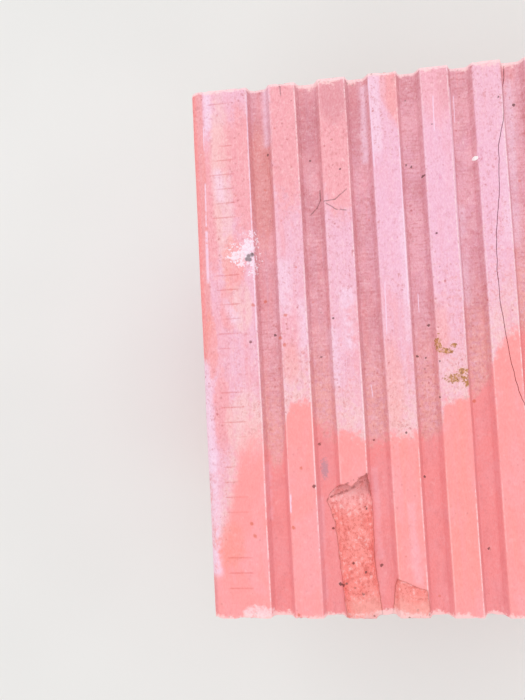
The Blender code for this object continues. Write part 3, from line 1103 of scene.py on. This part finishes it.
    # Small specks in the clay.
    gathered = speckle.ramp(0.54, 0.64) * (cloud * 0.6 + broad * 0.4).ramp(0.42, 0.58, 0.35, 1.0)
    skin.lay(gathered * (0.50 - damp * 0.40), SPECKLE_DARK)
    skin.lay(speckle.ramp(0.42, 0.34) * (0.38 - damp * 0.30), SPECKLE_PALE)
    skin.lay(mottle.ramp(0.54, 0.74) * (0.34 - even * 0.3), REDDISH)
    skin.lay(mottle.ramp(0.44, 0.28) * (0.30 - even * 0.2), MOTTLE_PALE)
    crowd = (cloud * 0.5 + ragged * 0.5).ramp(0.46, 0.58, 0.10, 1.0) * (1 - even)
    for cell_mm, radius_share, share, shift, strength, tint in (
        (1.3, 0.34, 0.36, 2.7, 0.34, REDDISH),
        (2.4, 0.24, 0.46, 0.0, 0.65, REDDISH),
        (4.6, 0.13, 0.30, 5.2, 0.65, BROWN_SPECK),
        (4.7, 0.075, 0.20, 4.4, 0.6, SOIL),
    ):
        skin.lay(clay.dots(cell_mm, radius_share, share, shift) * crowd * strength, tint)
    skin.lay(clay.dots(6.5, 0.09, 0.25, 7.7) * 0.5, RUST)
    skin.lay(fine.ramp(0.30, 0.70) * (0.14 - even * 0.12), FINE_PALE)
    skin.lay(fine.ramp(0.62, 0.40) * (0.10 - even * 0.08), REDDISH)

    # Marks of the upper plaster face.
    broken = (flake + (ragged - 0.5) * 0.5).ramp(-0.05, 0.12) * on_top
    pale_head = (y + tatter * (6 * MM)).ramp(FLAKE_PALE_FROM, FLAKE_PALE_FROM + 12 * MM)
    inner = clay.coat(FLAKE_ORANGE)
    inner.lay(cloud.ramp(0.40, 0.58), FLAKE_CORAL)
    inner.lay(pale_head * 0.85, FLAKE_PINK)
    inner.lay(mottle.ramp(0.50, 0.62) * 0.45, FLAKE_RED)
    inner.lay(speckle.ramp(0.53, 0.61) * 0.55, FLAKE_DARK)
    inner.lay(speckle.ramp(0.46, 0.38) * 0.60, FLAKE_PALE)
    inner.lay(clay.dots(3.6, 0.20, 0.30, 9.1) * crust.ramp(0.40, 0.52) * 0.75, SOIL)
    from_end = clay.mark("from_end")
    foot = (from_end + (ragged - 0.5) * 10).ramp(11.0, 4.0)
    inner.lay(foot * 0.6, FLAKE_FOOT)
    skin.lay(broken * 0.95, inner.colour)
    # Painted shade on the flake's upper part, below its scarp.
    step = (y + tatter * (2 * MM)).ramp(FLAKE_PALE_FROM + 9.5 * MM, FLAKE_PALE_FROM + 14.5 * MM)
    skin.lay(step * broken * speckle.ramp(0.60, 0.44, 0.2, 0.6), FLAKE_STEP_SHADE)
    # A painted shadow line along the flakes' upper scarps.
    for scarp_px in SCARPS_PX:
        for start, end in zip(scarp_px, scarp_px[1:]):
            scarp_shadow = clay.near_stroke(start, end, 0.50 * MM, tatter * (1.2 * MM), 0.9) * on_top
            skin.lay(scarp_shadow * (ragged + speckle * 0.7).ramp(0.78, 0.98) * 0.6, SCARP_SHADOW_BROWN)
    # A thin painted shadow along the flakes' rims.
    brink_shade = flake.ramp(-0.60, -0.10) * flake.ramp(0.60, 0.05) * on_top
    skin.lay(brink_shade * (ragged * 0.5 + streak * 0.5).ramp(0.42, 0.58) * 0.5, BRINK_SHADE_RED)
    lime = clay.mark("lime") + (ragged - 0.5) * 14 + (mottle - 0.5) * 10 + (crust - 0.5) * 14
    skin.lay(lime.ramp(-0.4, 1.0) * on_top * (0.45 + crust.ramp(0.36, 0.56) * 0.4), LIME_WHITE)
    # Pale lines along arrises and the corner band: partly wear, partly painted highlight.
    for start, end, half_width in PALE_AND_SHEEN_LINES_PX:
        line = clay.near_stroke(start, end, half_width * MM, tatter * (0.3 * MM), 0.6) * on_top
        skin.lay(line * (streak * 0.5 + ragged).ramp(0.42, 0.74) * 0.8, LILAC_WHITE)
    for start, end in HAIRS_PX:
        hair = clay.near_stroke(start, end, 0.25 * MM, tatter * (0.5 * MM), 0.8) * on_top
        skin.lay(hair * (ragged * 0.6 + crust * 0.4).ramp(0.34, 0.52) * 0.55, SOIL)
    stain = clay.ovals(STAINS_PX, (crust - 0.5) * 9 + (ragged - 0.5) * 6, 0.6) * on_top
    tone = clay.coat(OLIVE)
    tone.lay(crust.ramp(0.44, 0.56), OLIVE_PALE)
    tone.lay(fine.ramp(0.52, 0.66) * 0.7, OLIVE_DARK)
    skin.lay(stain * speckle.ramp(0.62, 0.50, 0.15, 0.92), tone.colour)
    smudge_rim = (crust - 0.5) * 5 + (ragged - 0.5) * 3
    smudge = clay.blot(on_face(*SMUDGE_PX), 1.5 * MM, 4.2 * MM, smudge_rim, 0.8)
    skin.lay(smudge * on_top * 0.55, SMUDGE_GREY)
    uneven = (mottle - 0.5) * (2.6 * MM) + (speckle - 0.5) * (1.8 * MM)
    for places, radius_mm, soft_mm, rim, strength, tint in (
        (points_on_clay(DARK_FLECKS_PX), 0.44, 0.18, uneven, 0.8, SOIL),
        (points_on_clay(LUMPS_PX), 0.95, 0.35, 0.0, 0.8, LUMP_GREY),
        (points_on_clay(RUST_FLECKS_PX), 0.75, 0.35, uneven, 0.6, RUST),
        # painted shade in the pits
        ([place[:2] for place in PITS], 0.55, 0.25, uneven, 0.75, PIT_SHADE_BROWN),
    ):
        fleck = clay.near_points(places, radius_mm * MM, soft_mm * MM, rim)
        skin.lay(fleck * on_top * strength, tint)
    grain = clay.near_points([LIME_GRAIN], LIME_GRAIN_RADIUS, 0.1 * MM, 0.0)
    skin.lay(grain * on_top, GRAIN_WHITE)
    stroke = clay.mark("stroke")
    skin.lay(stroke * 0.34, STROKE_RED)
    gap = clay.mark("crack").ramp(0.15, 0.04)
    skin.lay(gap * on_top * 0.8, CRACK_DARK)
    # The crumbled edge at the cut ends is pale, partly pale crumbs and partly a painted highlight along the
    # rim, with chalk at the foot of the band.
    edge = (from_end + (ragged - 0.5) * 5 + (crust - 0.5) * 5 + (cloud - 0.5) * 9).ramp(2.2, 0.6)
    skin.lay(edge * 0.75, EDGE_PALE_AND_HIGHLIGHT)
    grit = edge * clay.dots(2.1, 0.24, 0.30, 6.3)
    skin.lay(grit * 0.7, GRIT_BROWN)
    back_rim_and_highlight = (from_end + (ragged - 0.5) * 2.0).ramp(1.7, 1.0) * y.ramp(MIDDLE_Y, MIDDLE_Y + MM)
    skin.lay(back_rim_and_highlight * crust.ramp(0.38, 0.54) * 0.75, BACK_RIM_PALE_AND_HIGHLIGHT)
    chalk_rim = tatter * 2.0 + (crust - 0.5) * 3
    chalk = clay.blot(on_face(*FOOT_CHALK_PX), 5.6 * MM, 2.4 * MM, chalk_rim, 0.7)
    skin.lay(chalk * on_top * speckle.ramp(0.62, 0.46, 0.4, 1.0) * 0.7, FOOT_CHALK)

    drag = clay.grain(0.7, 30, 2.0, 4.0, 0.6, shift=6.1)
    floor_only = lift.ramp(0.6, 0.2)
    height = drag * 0.09 + fine * 0.07 + mottle * 0.10 + cross * floor_only * 0.22
    height = height + broken * (mottle * 0.5 + speckle * 0.45)
    return clay.close(skin, lift.ramp(0.0, 1.0, 0.92, 0.84), height)


def cut_clay():
    """A wire-cut end: dry and rough, with the wire's straight drag marks."""
    clay = Finish("wire_cut_clay")
    cloud = clay.grain(24, 24, 24, 4.0, 0.6)
    drag = clay.grain(60, 8, 1.1, 4.0, 0.65, 0.15)
    crumbs = clay.grain(1.0, 1.0, 1.0, 4.0, 0.7)
    wetter = clay.x.ramp(LEFT, RIGHT) * 0.1 + cloud.ramp(0.42, 0.60)
    skin = clay.coat(CUT_ROSE)
    skin.lay(wetter, CUT_PALE)
    skin.lay(drag.ramp(0.52, 0.64) * 0.55, CUT_DRAG)
    skin.lay(drag.ramp(0.42, 0.30) * 0.6, CHALK)
    skin.lay(crumbs.ramp(0.56, 0.68) * 0.4, REDDISH)
    skin.lay(clay.dots(4.0, 0.10, 0.35) * 0.7, SOIL)
    skin.lay(clay.dots(2.2, 0.14, 0.30, 3.3) * 0.6, REDDISH)
    height = drag * 0.7 + crumbs * 0.35
    return clay.close(skin, 0.95, height)


def cell_clay():
    """The walls of the cells and grip holes: smooth from the cores, and a deeper orange."""
    clay = Finish("drawn_cell_clay")
    cloud = clay.grain(20, 60, 20, 4.0, 0.6)
    drag = clay.grain(0.9, 45, 0.9, 4.0, 0.6)
    fine = clay.grain(0.8, 0.8, 0.8, 3.0, 0.6)
    skin = clay.coat(CELL_ORANGE)
    skin.lay(cloud.ramp(0.40, 0.62), CELL_PALE)
    skin.lay(drag.ramp(0.55, 0.75) * 0.3, CHALK)
    skin.lay(clay.dots(5.0, 0.08, 0.30) * 0.7, SOIL)
    return clay.close(skin, 0.9, drag * 0.22 + fine * 0.08)


block = finished_block(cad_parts["clay_block"])
for material in (fluted_clay(), cut_clay(), cell_clay()):
    block.data.materials.append(material)
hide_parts("clay_block")
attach(block, "root")


# Floor, light and camera, in metres and watts, and the sky's levels, where 1 is white

FLOOR_DROP = 0.0002
FLOOR_HALF = 3.0
FLOOR_COLOUR = colour(232, 232, 230)
FLOOR_PALE = colour(236, 236, 234)
SKY_SIDES = 0.92
SKY_OVERHEAD = 0.98
SKY_SEEN = 0.86
LAMP_AT = (-0.1, 0.25, 1.6)
LAMP_AIM = (0, 0, 0.2)
LAMP_SIZE = 0.9
LAMP_WATTS = 2.4
CLIP_START = 0.01


def floor_plane():
    """A plain pale floor."""
    shape = bmesh.new()
    bmesh.ops.create_grid(shape, x_segments=1, y_segments=1, size=FLOOR_HALF)
    bmesh.ops.translate(shape, verts=shape.verts, vec=(0, 0, UNDER - FLOOR_DROP))
    mesh = bpy.data.meshes.new("floor")
    shape.to_mesh(mesh)
    shape.free()
    paint = Finish("floor_paint")
    wash = paint.grain(300, 300, 300, 2.0, 0.5)
    shade = paint.coat(FLOOR_COLOUR)
    shade.lay(wash.ramp(0.3, 0.7), FLOOR_PALE)
    mesh.materials.append(paint.close(shade, 0.9, wash * 0.0))
    return new_object("floor", mesh)


def soft_sky():
    """Even studio light from all round, stronger from the sides than from overhead."""
    world = bpy.data.worlds.new("soft_sky")
    world.use_nodes = True
    bpy.context.scene.world = world
    sky = Finish.__new__(Finish)
    sky.tree = world.node_tree
    sky.tree.nodes.clear()
    way = sky.add("ShaderNodeTexCoord", output="Generated")
    _, _, up = sky.parts(way)
    level = up.size().ramp(0.0, 1.0, SKY_SIDES, SKY_OVERHEAD)
    rays = sky.add("ShaderNodeLightPath", output="Is Camera Ray")
    level = level * (1 - rays) + rays * SKY_SEEN
    back = sky.add("ShaderNodeBackground", sockets={"Color": (1.0, 1.0, 1.0, 1.0), "Strength": level})
    sky.add("ShaderNodeOutputWorld", sockets={"Surface": back})


def soft_lamp(name, place, aim, size, power):
    """A large square lamp that shines at a point."""
    light = bpy.data.lights.new(name, "AREA")
    light.shape = "SQUARE"
    light.size = size
    light.energy = power
    lamp = new_object(name, light)
    lamp.location = place
    lamp.rotation_euler = (Vector(aim) - Vector(place)).to_track_quat("-Z", "Y").to_euler()


def photo_camera():
    """The camera where the photograph was taken."""
    lens = bpy.data.cameras.new("photo_camera")
    lens.sensor_width = SENSOR_MM
    lens.lens = FOCAL_PX / PICTURE_HIGH * SENSOR_MM
    lens.clip_start = CLIP_START
    camera = new_object("photo_camera", lens)
    camera.matrix_world = Matrix.Translation(CAMERA_AT) @ CAMERA_TURN.to_4x4()
    bpy.context.scene.camera = camera


floor_plane()
soft_sky()
soft_lamp("overhead_lamp", LAMP_AT, LAMP_AIM, LAMP_SIZE, LAMP_WATTS)
photo_camera()
bpy.context.scene.view_settings.view_transform = "Standard"
